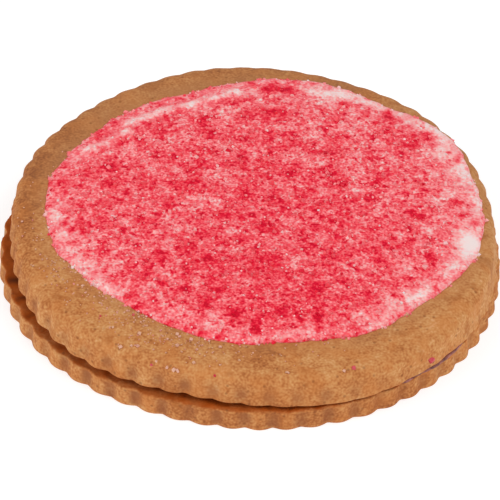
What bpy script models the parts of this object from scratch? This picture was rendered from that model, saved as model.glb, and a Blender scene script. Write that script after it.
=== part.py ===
"""Belgian biscuit: two spiced biscuits with a fluted edge, stuck together with raspberry jam.

The upper biscuit is covered with white icing and raspberry jelly crystals. The origin is the
middle of the flat base, +Z is up, and -Y is the front. Every size is in metres.
"""

from math import cos, pi, radians, sin, tau
from typing import NamedTuple

import bmesh
import bpy
import numpy as np
from mathutils import Euler, Matrix, Vector

MM = 0.001

# Both biscuits are cut with one round fluted cutter. The radius is taken at the flutes' crests.
# The flutes start to fade at this share of the wall's height, and the outline's waves fade
# towards the middle of the biscuit as a power of the radius.
BISCUIT_RADIUS = 42.5 * MM
FLUTE_COUNT = 56
FLUTE_DEPTH = 0.62 * MM
STEPS_PER_FLUTE = 5
FLUTE_FADE_START = 0.8
FLUTE_FADE_POWER = 2.5
OUTLINE_FADE_POWER = 3
FOOT_ROUNDING = 0.30 * MM
SHOULDER_BANDS = 3
DOME_RING_SHARE = 0.86
TAPER_TURN = radians(60.0)
SLUMP_TURN = radians(-42.0)
SLUMP_SPREAD = radians(58.0)


class Section(NamedTuple):
    """A biscuit's section, from its base up, in metres.

    It is a small foot, a wall that leans in, a round shoulder and a shallow dome. The flutes keep
    a share of their depth at the shoulder's top. The dough was rolled thicker towards one side,
    by the taper's share of its height, and on another side the slump's share of the flutes'
    depth was lost in the oven.
    """

    wall_height: float
    wall_lean: float
    shoulder_width: float
    shoulder_top: float
    crown: float
    top_flutes: float
    taper: float
    slump: float

    def rim_radius(self):
        """Where the upper face ends and the shoulder starts."""
        return BISCUIT_RADIUS - self.wall_lean - self.shoulder_width


# The lower biscuit keeps the crisp edge of its cutting; the upper one's shoulder is well rounded.
LOWER_SECTION = Section(3.50 * MM, 0.15 * MM, 0.40 * MM, 3.87 * MM, 4.02 * MM, 0.8, 0.093, 0.0)
UPPER_SECTION = Section(3.90 * MM, 0.35 * MM, 3.00 * MM, 5.70 * MM, 6.35 * MM, 0.0, 0.0, 0.8)

# How the upper biscuit sits on the jam: it leans down to the front right, where the seam closes.
UPPER_SHIFT = Vector((0.39, 0.25, 0.0)) * MM
UPPER_BASE_HEIGHT = 5.15 * MM
UPPER_TILT_TO_RIGHT = radians(1.0)
UPPER_TILT_TO_FRONT = radians(1.0)

# Slow waves round an outline: (waves in a turn, cosine amplitude, sine amplitude), in mm. The
# upper biscuit spread a little less in the oven, so its table starts with a change of radius.
LOWER_OUTLINE = ((2, 0.18, -0.08), (3, -0.26, -0.10), (4, -0.04, 0.06), (6, -0.07, -0.08))
UPPER_OUTLINE = (
    (0, -0.50, 0.0),
    (1, 0.01, 0.02),
    (2, -0.20, -0.05),
    (3, -0.37, -0.34),
    (4, -0.36, 0.11),
    (5, 0.06, 0.19),
    (6, -0.07, -0.20),
)
ICING_OUTLINE = (
    (2, 1.31, 0.60),
    (3, -0.46, 0.05),
    (4, 0.38, -0.03),
    (5, -0.13, 0.03),
    (6, -0.10, 0.07),
    (7, -0.04, -0.29),
    (8, 0.0, -0.28),
    (11, 0.08, 0.08),
    (17, -0.04, 0.07),
    (23, 0.06, -0.04),
)

# The dough stretches, so the flutes are uneven: (turn of the first valley, cosine, sine), degrees.
LOWER_FLUTE_SPREAD = (1.62, -0.34, -4.23)
UPPER_FLUTE_SPREAD = (5.70, 1.36, 1.57)

# Icing, poured on the upper biscuit off its middle, with a round edge. At the back right it has
# run out on to the shoulder, in a lobe.
ICING_CENTRE = Vector((2.09, 2.20, 0.0)) * MM
ICING_RADIUS = 35.68 * MM
ICING_LOBE = 0.5 * MM
ICING_LOBE_TURN = radians(38.0)
ICING_LOBE_SPREAD = radians(7.0)
ICING_THICKNESS = 1.05 * MM
ICING_EDGE_HEIGHT = 0.55 * MM
ICING_EDGE_WIDTH = 1.8 * MM
ICING_FOOT_SHARE = 0.15
ICING_RINGS = (0.35, 0.7, 1.0)
ICING_STEPS = 120
CLEARANCE = 0.30 * MM

# The largest jelly crystals, which stand out of the icing.
CRYSTAL_COUNT = 150
CRYSTAL_SIZE = (0.85 * MM, 1.35 * MM)
CRYSTAL_LIFT = (-0.10 * MM, 0.15 * MM)
CRYSTAL_SPACING = 3.0 * MM
CRYSTAL_EDGE_MARGIN = 2.0 * MM
CRYSTAL_SEED = 7

# Jam, a thin layer that runs through and comes out to the rim at the front right.
JAM_RADIUS = 38.4 * MM
JAM_CLEARANCE = 0.08 * MM
JAM_CENTRE = Vector((0.8, -0.4, 0.0)) * MM
JAM_BULGE = 3.0 * MM
JAM_BULGE_TURN = radians(-42.0)
JAM_BULGE_SPREAD = radians(24.0)
JAM_WAVES = ((5, 0.25, 0.18), (9, -0.15, 0.22))
JAM_STEPS = 72
JAM_EDGE_ROUNDING = 0.5 * MM
JAM_RINGS = (0.5, 0.93, 1.0)


def clear_scene():
    """Removes whatever the start-up file holds."""
    for obj in list(bpy.data.objects):
        bpy.data.objects.remove(obj, do_unlink=True)


def new_collection(name):
    collection = bpy.data.collections.new(name)
    bpy.context.scene.collection.children.link(collection)
    return collection


def food_material(name, colour, roughness):
    """A Principled BSDF with the food's own colour; nothing here is metallic."""
    material = bpy.data.materials.new(name)
    material.use_nodes = True
    shader = material.node_tree.nodes["Principled BSDF"]
    shader.inputs["Base Color"].default_value = (*colour, 1.0)
    shader.inputs["Roughness"].default_value = roughness
    shader.inputs["Metallic"].default_value = 0.0
    return material


def waves(turn, table):
    """The sum of the table's cosine and sine waves at these angles, in metres."""
    total = np.zeros_like(turn)
    for order, cosine, sine in table:
        total += (cosine * np.cos(order * turn) + sine * np.sin(order * turn)) * MM
    return total


def turned_object(name, profile, steps, collection):
    """Turns a profile, given from the top of the axis out and down to its foot, about +Z."""
    outline = bpy.data.meshes.new(name + "_profile")
    points = [(radius, 0.0, height) for radius, height in profile]
    outline.from_pydata(points, [(i, i + 1) for i in range(len(points) - 1)], [])
    helper = bpy.data.objects.new(name + "_profile", outline)
    collection.objects.link(helper)
    screw = helper.modifiers.new("turn", "SCREW")
    screw.steps = steps
    screw.render_steps = steps
    screw.use_merge_vertices = True
    screw.merge_threshold = 0.00001
    mesh = evaluated_mesh(helper)
    bpy.data.objects.remove(helper, do_unlink=True)
    obj = bpy.data.objects.new(name, mesh)
    collection.objects.link(obj)
    return obj


def evaluated_mesh(obj):
    """A mesh that holds the object as its modifiers leave it."""
    bpy.context.view_layer.update()
    graph = bpy.context.evaluated_depsgraph_get()
    return bpy.data.meshes.new_from_object(obj.evaluated_get(graph), depsgraph=graph)


def read_points(mesh):
    flat = np.empty(len(mesh.vertices) * 3)
    mesh.vertices.foreach_get("co", flat)
    return flat.reshape(-1, 3)


def write_points(mesh, points):
    mesh.vertices.foreach_set("co", points.ravel())
    mesh.update()


def face_height(x, y, section):
    """Height of a biscuit's upper face: a shallow dome, then the quarter round of the shoulder."""
    radius = np.hypot(x, y)
    inside = np.clip(radius / section.rim_radius(), 0.0, 1.0)
    outside = np.clip((radius - section.rim_radius()) / section.shoulder_width, 0.0, 1.0)
    shoulder = (section.shoulder_top - section.wall_height) * np.sqrt(1.0 - outside**2)
    dome = (section.crown - section.shoulder_top) * (1.0 - inside**2)
    return (section.wall_height + shoulder + dome) * thickness_share(x, y, section)


def thickness_share(x, y, section):
    """How thick the dough is here, as a share of its usual thickness."""
    towards = x * cos(TAPER_TURN) + y * sin(TAPER_TURN)
    return 1.0 + section.taper * towards / BISCUIT_RADIUS


def biscuit_profile(section):
    """Section of a biscuit, from the middle of its top out, over the shoulder and down."""
    level = section._replace(taper=0.0)
    rim = section.rim_radius()
    radii = [0.0, DOME_RING_SHARE * rim]
    for band in range(SHOULDER_BANDS + 1):
        radii.append(rim + section.shoulder_width * sin(pi / 2 * band / SHOULDER_BANDS))
    profile = [(radius, face_height(radius, 0.0, level)) for radius in radii]
    profile.append((BISCUIT_RADIUS, FOOT_ROUNDING))
    profile.append((BISCUIT_RADIUS - FOOT_ROUNDING, 0.0))
    profile.append((0.0, 0.0))
    return profile


def flute_share(height, section):
    """1 on the wall, fading over the shoulder to the flutes' share at its top."""
    start = section.wall_height * FLUTE_FADE_START
    over_wall = np.clip((height - start) / (section.shoulder_top - start), 0.0, 1.0)
    return 1.0 - (1.0 - section.top_flutes) * over_wall**FLUTE_FADE_POWER


def bell(turn, middle, spread, power=2):
    """1 at the middle, falling off as a bell of this spread; 4 is flatter on top than 2."""
    gap = (turn - middle + pi) % tau - pi
    return np.exp(-((np.abs(gap) / spread) ** power))


def fluted_biscuit(name, section, outline, flute_spread, collection):
    """A turned disc whose points are moved to the outline and in at each valley."""
    steps = FLUTE_COUNT * STEPS_PER_FLUTE
    obj = turned_object(name, biscuit_profile(section), steps, collection)
    points = read_points(obj.data)
    radius = np.hypot(points[:, 0], points[:, 1])
    turn = np.arctan2(points[:, 1], points[:, 0])
    # A valley lies wherever the turned disc's own angle is a whole number of flutes.
    lobe = np.abs(np.sin(FLUTE_COUNT * turn / 2))
    first, cosine, sine = (radians(value) for value in flute_spread)
    place = turn + first
    place = place + cosine * np.cos(place) + sine * np.sin(place)
    depth = FLUTE_DEPTH * (1.0 - section.slump * bell(place, SLUMP_TURN, SLUMP_SPREAD, 4))
    valley = depth * (1.0 - lobe) * flute_share(points[:, 2], section)
    outward = (radius / BISCUIT_RADIUS) ** OUTLINE_FADE_POWER
    radius = radius + outward * (waves(place, outline) - valley)
    points[:, 0] = radius * np.cos(place)
    points[:, 1] = radius * np.sin(place)
    points[:, 2] *= thickness_share(points[:, 0], points[:, 1], section)
    write_points(obj.data, points)
    return obj


def icing_rim(turn):
    """Distance of the icing's edge from its own middle."""
    lobe = ICING_LOBE * bell(turn, ICING_LOBE_TURN, ICING_LOBE_SPREAD)
    return ICING_RADIUS + waves(turn, ICING_OUTLINE) + lobe


def icing_underside(x, y):
    """Height of the icing's flat side: the upper biscuit's face and the clearance."""
    return face_height(x, y, UPPER_SECTION) + CLEARANCE


def icing_thickness(share):
    """Thickness of the icing at a share of the way out to where its edge starts to round."""
    return ICING_THICKNESS + (ICING_EDGE_HEIGHT - ICING_THICKNESS) * share**3


def icing_body(collection):
    """A flat pool: the profile holds (share of the way out, share of the thickness)."""
    inner = 1.0 - ICING_EDGE_WIDTH / ICING_RADIUS
    profile = [(0.0, 1.0)] + [(inner * ring, 1.0) for ring in ICING_RINGS]
    for turn in (30, 60, 90):
        out = inner + (1.0 - inner) * sin(radians(turn))
        profile.append((out, ICING_FOOT_SHARE + (1.0 - ICING_FOOT_SHARE) * cos(radians(turn))))
    profile += [((inner + 1.0) / 2, 0.0), (0.0, 0.0)]
    obj = turned_object("icing", profile, ICING_STEPS, collection)
    points = read_points(obj.data)
    share = np.hypot(points[:, 0], points[:, 1])
    turn = np.arctan2(points[:, 1], points[:, 0])
    radius = share * icing_rim(turn)
    points[:, 0] = ICING_CENTRE.x + radius * np.cos(turn)
    points[:, 1] = ICING_CENTRE.y + radius * np.sin(turn)
    thickness = icing_thickness(np.clip(share / inner, 0.0, 1.0))
    points[:, 2] = icing_underside(points[:, 0], points[:, 1]) + points[:, 2] * thickness
    write_points(obj.data, points)
    return obj


def crystal_places():
    """Seeded random places on the icing, each at least CRYSTAL_SPACING from the others."""
    rng = np.random.default_rng(CRYSTAL_SEED)
    places = []
    while len(places) < CRYSTAL_COUNT:
        turn = rng.uniform(0.0, tau)
        rim = float(icing_rim(np.array(turn))) - CRYSTAL_EDGE_MARGIN
        radius = rim * rng.uniform() ** 0.5
        place = ICING_CENTRE + Vector((radius * cos(turn), radius * sin(turn), 0.0))
        if all((place - other).length > CRYSTAL_SPACING for other in places):
            places.append(place)
    return places


def add_crystals(icing):
    """Blocky sugar crystals, half sunk in the icing and fused to it by one union."""
    rng = np.random.default_rng(CRYSTAL_SEED)
    grains = new_collection("crystals")
    for number, place in enumerate(crystal_places()):
        size = Vector(rng.uniform(*CRYSTAL_SIZE, 3))
        spin = Euler(rng.uniform(0.0, tau, 3)).to_matrix().to_4x4()
        thickness = icing_thickness((place - ICING_CENTRE).length / ICING_RADIUS)
        surface = icing_underside(place.x, place.y) + thickness
        here = Matrix.Translation((place.x, place.y, surface + rng.uniform(*CRYSTAL_LIFT)))
        block = bmesh.new()
        bmesh.ops.create_cube(block, size=1.0, matrix=here @ spin @ Matrix.Diagonal((*size, 1.0)))
        mesh = bpy.data.meshes.new(f"crystal_{number}")
        block.to_mesh(mesh)
        block.free()
        grains.objects.link(bpy.data.objects.new(f"crystal_{number}", mesh))
    union = icing.modifiers.new("crystals", "BOOLEAN")
    union.operation = "UNION"
    union.operand_type = "COLLECTION"
    union.collection = grains
    union.solver = "MANIFOLD"
    joined = evaluated_mesh(icing)
    icing.modifiers.clear()
    icing.data = joined
    for grain in list(grains.objects):
        bpy.data.objects.remove(grain, do_unlink=True)
    bpy.data.collections.remove(grains)


def upper_placement():
    """Where the upper biscuit's own frame lies: shifted, raised and slightly tilted."""
    tilt = Euler((UPPER_TILT_TO_FRONT, UPPER_TILT_TO_RIGHT, 0.0)).to_matrix().to_4x4()
    return Matrix.Translation(UPPER_SHIFT + Vector((0.0, 0.0, UPPER_BASE_HEIGHT))) @ tilt


def jam_layer(collection):
    """A disc that fills the space between the biscuits, short of both by the clearance.

    The profile holds (share of the way out, share of the space's height).
    """
    inner = 1.0 - JAM_EDGE_ROUNDING / JAM_RADIUS
    profile = [(0.0, 1.0)] + [(inner * ring, 1.0) for ring in JAM_RINGS] + [(1.0, 0.5)]
    profile += [(inner * ring, 0.0) for ring in reversed(JAM_RINGS)] + [(0.0, 0.0)]
    obj = turned_object("jam", profile, JAM_STEPS, collection)
    points = read_points(obj.data)
    share = np.hypot(points[:, 0], points[:, 1])
    turn = np.arctan2(points[:, 1], points[:, 0])
    bulge = JAM_BULGE * bell(turn, JAM_BULGE_TURN, JAM_BULGE_SPREAD)
    radius = share * (JAM_RADIUS + bulge + waves(turn, JAM_WAVES))
    x = JAM_CENTRE.x + radius * np.cos(turn)
    y = JAM_CENTRE.y + radius * np.sin(turn)
    placement = upper_placement()
    middle = placement.translation
    normal = placement.to_3x3().col[2]
    over = middle.z - ((x - middle.x) * normal.x + (y - middle.y) * normal.y) / normal.z
    over = over - JAM_CLEARANCE
    under = face_height(x, y, LOWER_SECTION) + JAM_CLEARANCE
    height = under + points[:, 2] * (over - under)
    write_points(obj.data, np.column_stack((x, y, height)))
    return obj


def finish(obj, material):
    """Gives the sub-part its material and smooth shading, with the crisp edges kept sharp."""
    obj.data.materials.clear()
    obj.data.materials.append(material)
    obj.data.shade_smooth()
    obj.data.set_sharp_from_angle(angle=radians(40.0))


def build():
    clear_scene()
    parts = new_collection("belgian_biscuit")
    baked = food_material("baked_spiced_dough", (0.50, 0.22, 0.07), 0.80)
    fruit = food_material("raspberry_jam", (0.10, 0.012, 0.02), 0.30)
    sugar = food_material("icing_and_jelly_crystals", (0.80, 0.16, 0.19), 0.55)

    upper_frame = bpy.data.objects.new("upper_frame", None)
    upper_frame.matrix_world = upper_placement()
    parts.objects.link(upper_frame)

    lower = fluted_biscuit(
        "lower_biscuit", LOWER_SECTION, LOWER_OUTLINE, LOWER_FLUTE_SPREAD, parts
    )
    jam = jam_layer(parts)
    upper = fluted_biscuit(
        "upper_biscuit", UPPER_SECTION, UPPER_OUTLINE, UPPER_FLUTE_SPREAD, parts
    )
    icing = icing_body(parts)
    add_crystals(icing)
    upper.parent = upper_frame
    icing.parent = upper_frame

    finish(lower, baked)
    finish(upper, baked)
    finish(jam, fruit)
    finish(icing, sugar)


build()
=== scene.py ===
"""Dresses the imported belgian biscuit: two baked halves, jam, raspberry icing and loose crystals.

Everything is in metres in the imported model's own frame: the origin is the middle of the flat
base, +Z is up, -Y is the front and +X is to the right.
"""

from math import cos, pi, radians, sin, tau
from typing import NamedTuple

import bpy
import numpy as np
from bpy.props import FloatProperty, FloatVectorProperty, IntProperty, PointerProperty
from mathutils import Euler, Matrix, Vector


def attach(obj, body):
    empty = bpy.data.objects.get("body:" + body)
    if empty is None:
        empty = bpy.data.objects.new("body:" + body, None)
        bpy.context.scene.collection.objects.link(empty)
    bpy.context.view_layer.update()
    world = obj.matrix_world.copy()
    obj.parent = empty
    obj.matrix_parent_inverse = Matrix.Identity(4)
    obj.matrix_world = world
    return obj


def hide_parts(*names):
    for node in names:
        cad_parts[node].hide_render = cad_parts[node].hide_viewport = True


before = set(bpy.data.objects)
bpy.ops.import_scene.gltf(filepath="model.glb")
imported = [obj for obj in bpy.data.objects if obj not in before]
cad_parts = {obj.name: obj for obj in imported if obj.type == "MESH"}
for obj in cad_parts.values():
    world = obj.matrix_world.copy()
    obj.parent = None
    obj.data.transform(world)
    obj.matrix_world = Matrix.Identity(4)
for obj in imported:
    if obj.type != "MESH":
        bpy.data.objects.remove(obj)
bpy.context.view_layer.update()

bl_info = {
    "name": "Belgian Biscuit",
    "version": (1, 0, 0),
    "blender": (4, 5, 0),
    "location": "View3D > Sidebar > Biscuit",
    "description": "Builds an iced belgian biscuit round its packed model",
    "category": "Add Mesh",
}

MM = 0.001


# ---------------------------------------------------------------- the shape shared with the model


class Half(NamedTuple):
    """One baked half: its section in metres, its waves in mm, the flutes' spread in degrees.

    The flutes keep a share of their depth at the shoulder's top. The dough was rolled thicker
    towards one side, by the taper's share of its height, and on another side the slump's share
    of the flutes' depth was lost in the oven.
    """

    wall_height: float
    wall_lean: float
    shoulder_width: float
    shoulder_top: float
    crown: float
    top_flutes: float
    taper: float
    slump: float
    outline: tuple
    spread: tuple
    seed: int


FLUTE_COUNT = 56
FLUTE_FADE_START = 0.8
FLUTE_FADE_POWER = 2.5
OUTLINE_FADE_POWER = 3
FOOT_ROUNDING = 0.30 * MM
TAPER_TURN = radians(60.0)
# In degrees, as the middles and spreads of all the sides below are.
SLUMP_TURN = -42.0
SLUMP_SPREAD = 58.0

LOWER_HALF = Half(
    wall_height=3.50 * MM,
    wall_lean=0.15 * MM,
    shoulder_width=0.40 * MM,
    shoulder_top=3.87 * MM,
    crown=4.02 * MM,
    top_flutes=0.8,
    taper=0.093,
    slump=0.0,
    outline=((2, 0.18, -0.08), (3, -0.26, -0.10), (4, -0.04, 0.06), (6, -0.07, -0.08)),
    spread=(1.62, -0.34, -4.23),
    seed=11,
)
UPPER_HALF = Half(
    wall_height=3.90 * MM,
    wall_lean=0.35 * MM,
    shoulder_width=3.00 * MM,
    shoulder_top=5.70 * MM,
    crown=6.35 * MM,
    top_flutes=0.0,
    taper=0.0,
    slump=0.8,
    outline=(
        (0, -0.50, 0.0),
        (1, 0.01, 0.02),
        (2, -0.20, -0.05),
        (3, -0.37, -0.34),
        (4, -0.36, 0.11),
        (5, 0.06, 0.19),
        (6, -0.07, -0.20),
    ),
    spread=(5.70, 1.36, 1.57),
    seed=23,
)
UPPER_SHIFT = Vector((0.39, 0.25, 5.15)) * MM
UPPER_TILT = Euler((radians(1.0), radians(1.0), 0.0))
UPPER_PLACE = Matrix.Translation(UPPER_SHIFT) @ UPPER_TILT.to_matrix().to_4x4()

ICING_CENTRE = np.array((2.09, 2.20)) * MM
ICING_RADIUS = 35.68 * MM
ICING_OUTLINE = (
    (2, 1.31, 0.60),
    (3, -0.46, 0.05),
    (4, 0.38, -0.03),
    (5, -0.13, 0.03),
    (6, -0.10, 0.07),
    (7, -0.04, -0.29),
    (8, 0.0, -0.28),
    (11, 0.08, 0.08),
    (17, -0.04, 0.07),
    (23, 0.06, -0.04),
)
# Flatter than the model's lobe, because the crumbly edge adds its own wiggles.
ICING_LOBE = 0.15 * MM
ICING_LOBE_TURN = 38.0
ICING_LOBE_SPREAD = 7.0
ICING_EDGE_WIDTH = 1.8 * MM
CLEARANCE = 0.30 * MM

JAM_RADIUS = 38.4 * MM
JAM_CENTRE = np.array((0.8, -0.4)) * MM
# Further out than the model's bulge, so that the jam shows under the chipped edge.
JAM_BULGE = 3.6 * MM
JAM_BULGE_TURN = -42.0
JAM_BULGE_SPREAD = 24.0
JAM_WAVES = ((5, 0.25, 0.18), (9, -0.15, 0.22))


# ---------------------------------------------------------------- settings


def linear_colour(code):
    """Linear red, green and blue of an sRGB hex colour."""
    channels = [int(code[start : start + 2], 16) / 255 for start in (1, 3, 5)]
    return tuple(c / 12.92 if c <= 0.04045 else ((c + 0.055) / 1.055) ** 2.4 for c in channels)


class DoughSettings(bpy.types.PropertyGroup):
    radius: FloatProperty(
        name="Radius",
        description="From the middle of a half to the crests of its flutes",
        default=42.5 * MM,
        unit="LENGTH",
        precision=4,
    )
    flute_depth: FloatProperty(
        name="Flute Depth",
        description="From the crests of the flutes down to their valleys",
        default=0.60 * MM,
        unit="LENGTH",
        precision=5,
    )
    unevenness: FloatProperty(
        name="Unevenness",
        description="Height of the slow swells of the baked face",
        default=0.10 * MM,
        unit="LENGTH",
        precision=5,
    )
    crumb: FloatProperty(
        name="Crumb",
        description="Height of the crumb's relief",
        default=0.036 * MM,
        unit="LENGTH",
        precision=5,
    )
    # The flutes' valleys: the dough's own greyer tone there, and painted shade.
    valley_tone_and_shade_colour: FloatVectorProperty(
        name="Valley",
        description="Dough that the cutter pressed dense in the flutes' valleys",
        default=linear_colour("#935735"),
        subtype="COLOR",
    )
    # Orange brown by the seam: partly the dough's own colour there, partly painted shade into the
    # gap.
    soak_and_shade_colour: FloatVectorProperty(
        name="Soaked Dough",
        description="Dough by the seam, soaked with jam syrup",
        default=linear_colour("#AC4C06"),
        subtype="COLOR",
    )
    # The icing's greased halo, with painted shade under the icing's edge and at the back.
    grease_and_shade_colour: FloatVectorProperty(
        name="Greased Dough",
        description="Dough next to the icing, which has drawn moisture from it",
        default=linear_colour("#A8764F"),
        subtype="COLOR",
    )


class IcingSettings(bpy.types.PropertyGroup):
    thickness: FloatProperty(
        name="Thickness",
        description="Thickness of the icing in its middle",
        default=1.05 * MM,
        unit="LENGTH",
        precision=5,
    )
    edge_thickness: FloatProperty(
        name="Edge Thickness",
        description="Thickness of the icing where its edge starts to round",
        default=0.36 * MM,
        unit="LENGTH",
        precision=5,
    )
    ridge_height: FloatProperty(
        name="Ridge Height",
        description="Height of the soft ridge where the icing has run up inside its edge",
        default=0.28 * MM,
        unit="LENGTH",
        precision=5,
    )
    grain_height: FloatProperty(
        name="Grain Height",
        description="Height of the bumps that the sunk crystals make",
        default=0.085 * MM,
        unit="LENGTH",
        precision=5,
    )


class CrystalSettings(bpy.types.PropertyGroup):
    jelly_count: IntProperty(
        name="Jelly Crystals",
        description="Crystals of raspberry jelly on the icing",
        default=3600,
        min=1,
    )
    sugar_count: IntProperty(
        name="Sugar Crystals",
        description="Clear sugar crystals on the icing",
        default=500,
        min=1,
    )
    smallest: FloatProperty(
        name="Smallest",
        description="Width of the smallest crystals",
        default=0.18 * MM,
        unit="LENGTH",
        precision=5,
    )
    usual: FloatProperty(
        name="Usual",
        description="Width of a usual crystal",
        default=0.34 * MM,
        unit="LENGTH",
        precision=5,
    )
    loose_count: IntProperty(
        name="Loose Grains",
        description="Grains that have fallen from the icing on to the rim",
        default=320,
        min=1,
    )


class StageSettings(bpy.types.PropertyGroup):
    elevation: FloatProperty(
        name="Elevation",
        description="How far above the table the camera looks from",
        default=radians(39.5),
        subtype="ANGLE",
    )
    roll: FloatProperty(
        name="Roll",
        description="How far the camera leans to its left",
        default=radians(1.48),
        subtype="ANGLE",
    )
    distance: FloatProperty(
        name="Distance",
        description="From the camera to the point that it is aimed at",
        default=1.2,
        unit="LENGTH",
    )
    lens: FloatProperty(
        name="Lens",
        description="Focal length in millimetres on a 36 mm sensor",
        default=505.4,
    )
    sky_strength: FloatProperty(
        name="Sky Strength",
        description="Even light from all round",
        default=0.505,
    )


# ---------------------------------------------------------------- noise, worked out with numpy


def lattice_value(cell, seed):
    """A repeatable random number from 0 to 1 for each whole-numbered cell: its bits are mixed."""
    x, y, z = (cell[..., axis].astype(np.uint32) for axis in range(3))
    mixed = x * np.uint32(374761393) + y * np.uint32(668265263) + z * np.uint32(2246822519)
    mixed = mixed + np.uint32(seed * 40503 + 7)
    mixed = (mixed ^ (mixed >> np.uint32(13))) * np.uint32(1274126177)
    mixed = (mixed ^ (mixed >> np.uint32(15))) * np.uint32(2654435761)
    return (mixed ^ (mixed >> np.uint32(16))) / 4294967295.0


def soft_noise(points, size, seed):
    """Random values on a lattice of this size, blended with smooth steps, from -1 to 1."""
    place = points / size
    cell = np.floor(place).astype(np.int64)
    part = place - cell
    part = part * part * (3.0 - 2.0 * part)
    total = np.zeros(points.shape[:-1])
    for corner in np.ndindex(2, 2, 2):
        weight = np.prod(np.where(corner, part, 1.0 - part), axis=-1)
        total += weight * lattice_value(cell + np.array(corner), seed)
    return total * 2.0 - 1.0


def rough_noise(points, size, seed, layers=3):
    """Soft noise at this size, and at each half of it with half the height, from -1 to 1."""
    total = np.zeros(points.shape[:-1])
    for layer in range(layers):
        total += soft_noise(points, size / 2**layer, seed + layer) / 2**layer
    return total / (2.0 - 2.0 ** (1 - layers))


def nearest_seed(points, size, seed):
    """Distance, in cells, to the nearest of one random seed a cell, and that seed's own value."""
    place = points / size
    cell = np.floor(place).astype(np.int64)
    nearest = np.full(points.shape[:-1], 9.0)
    value = np.zeros(points.shape[:-1])
    for step in np.ndindex(3, 3, 3):
        other = cell + np.array(step) - 1
        jitter = np.stack([lattice_value(other, seed + axis) for axis in range(3)], axis=-1)
        distance = np.linalg.norm(other + jitter - place, axis=-1)
        closer = distance < nearest
        nearest = np.where(closer, distance, nearest)
        value = np.where(closer, lattice_value(other, seed + 3), value)
    return nearest, value


def smooth_step(low, high, value):
    """0 below low and 1 above high, with a smooth rise between them."""
    share = np.clip((value - low) / (high - low), 0.0, 1.0)
    return share * share * (3.0 - 2.0 * share)


def bell(value, middle, width, power=2):
    """1 at the middle, falling off as a bell of this width; 4 is flatter on top than 2."""
    return np.exp(-((np.abs(value - middle) / width) ** power))


def turn_of(points):
    """The angle round the biscuit's middle, from +X towards +Y."""
    return np.arctan2(points[..., 1], points[..., 0])


def side(turn, middle, spread, power=2):
    """A bell round a side of the biscuit, its middle and spread in degrees, either way round."""
    gap = (turn - radians(middle) + pi) % tau - pi
    return bell(gap, 0.0, radians(spread), power)


def waves(turn, table):
    """The sum of the table's cosine and sine waves at these angles, in metres."""
    total = np.zeros_like(turn)
    for order, cosine, sine in table:
        total = total + (cosine * np.cos(order * turn) + sine * np.sin(order * turn)) * MM
    return total


# ---------------------------------------------------------------- meshes


def closed_skin(name, rings):
    """Joins rings of points into a closed skin; the first and last ring shrink to one point."""
    count, columns = rings.shape[0] - 2, rings.shape[1]
    first, last = rings[0].mean(axis=0), rings[-1].mean(axis=0)
    points = np.vstack((first, rings[1:-1].reshape(-1, 3), last))
    here = np.arange(columns)
    there = (here + 1) % columns
    row = 1 + np.arange(count - 1)[:, None] * columns
    quads = np.stack((row + here, row + columns + here, row + columns + there, row + there), -1)
    end = 1 + (count - 1) * columns
    fan = np.stack((np.zeros_like(here), 1 + here, 1 + there), -1)
    close = np.stack((np.full_like(here, len(points) - 1), end + there, end + here), -1)
    faces = quads.reshape(-1, 4).tolist() + fan.tolist() + close.tolist()
    mesh = bpy.data.meshes.new(name)
    mesh.from_pydata(points, [], faces)
    mesh.shade_smooth()
    return mesh


def ring_normals(rings):
    """Outward directions of a skin's rings, from the steps along and across them."""
    along = np.gradient(rings, axis=0)
    across = np.roll(rings, -1, axis=1) - np.roll(rings, 1, axis=1)
    normal = np.cross(along, across)
    length = np.linalg.norm(normal, axis=-1, keepdims=True)
    return np.divide(normal, length, out=np.zeros_like(normal), where=length > 1e-15)


def skin_values(values):
    """The rings' values in the order of closed_skin's points."""
    return np.hstack((values[0].mean(), values[1:-1].ravel(), values[-1].mean()))


def store_values(mesh, name, values):
    """Keeps one number for each point, which a material reads by name."""
    attribute = mesh.attributes.new(name, "FLOAT", "POINT")
    attribute.data.foreach_set("value", values.astype(np.float32))


def placed(rings, place):
    """Points moved by a placement matrix."""
    matrix = np.array(place)
    return rings @ matrix[:3, :3].T + matrix[:3, 3]


def add_piece(name, mesh, material, nodes):
    """Links a finished mesh as a piece that rides on the biscuit, in place of these nodes."""
    mesh.materials.append(material)
    piece = bpy.data.objects.new(name, mesh)
    bpy.context.scene.collection.objects.link(piece)
    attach(piece, "root")
    if nodes:
        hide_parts(*nodes)
    return piece


# ---------------------------------------------------------------- materials


def add_node(tree, kind, inputs=None, stops=None, **settings):
    """Adds a node. Its inputs are values or the sockets that feed them, by name or number.

    Stops, for a colour ramp, are pairs of a position and an sRGB hex colour. By number, a Mix
    node has its share at 0 and its two colours at 6 and 7, and a Map Range node has the range
    that it takes at 1 and 2, and the one that it gives at 3 and 4.
    """
    node = tree.nodes.new(kind)
    for name, value in settings.items():
        setattr(node, name, value)
    for name, value in (inputs or {}).items():
        if isinstance(value, bpy.types.NodeSocket):
            tree.links.new(value, node.inputs[name])
        else:
            node.inputs[name].default_value = value
    for number, (position, code) in enumerate(stops or ()):
        elements = node.color_ramp.elements
        stop = elements[number] if number < len(elements) else elements.new(position)
        stop.position = position
        stop.color = (*linear_colour(code), 1.0)
    return node


def new_material(name, finish):
    """A material whose shader has this finish, by socket, and the object's own coordinates."""
    material = bpy.data.materials.new(name)
    material.use_nodes = True
    tree = material.node_tree
    shader = tree.nodes["Principled BSDF"]
    for socket, value in finish.items():
        shader.inputs[socket].default_value = value
    place = tree.nodes.new("ShaderNodeTexCoord").outputs["Object"]
    return material, tree, shader, place


def per(size):
    """A texture's scale for features of this real size, in metres."""
    return 1.0 / size


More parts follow.
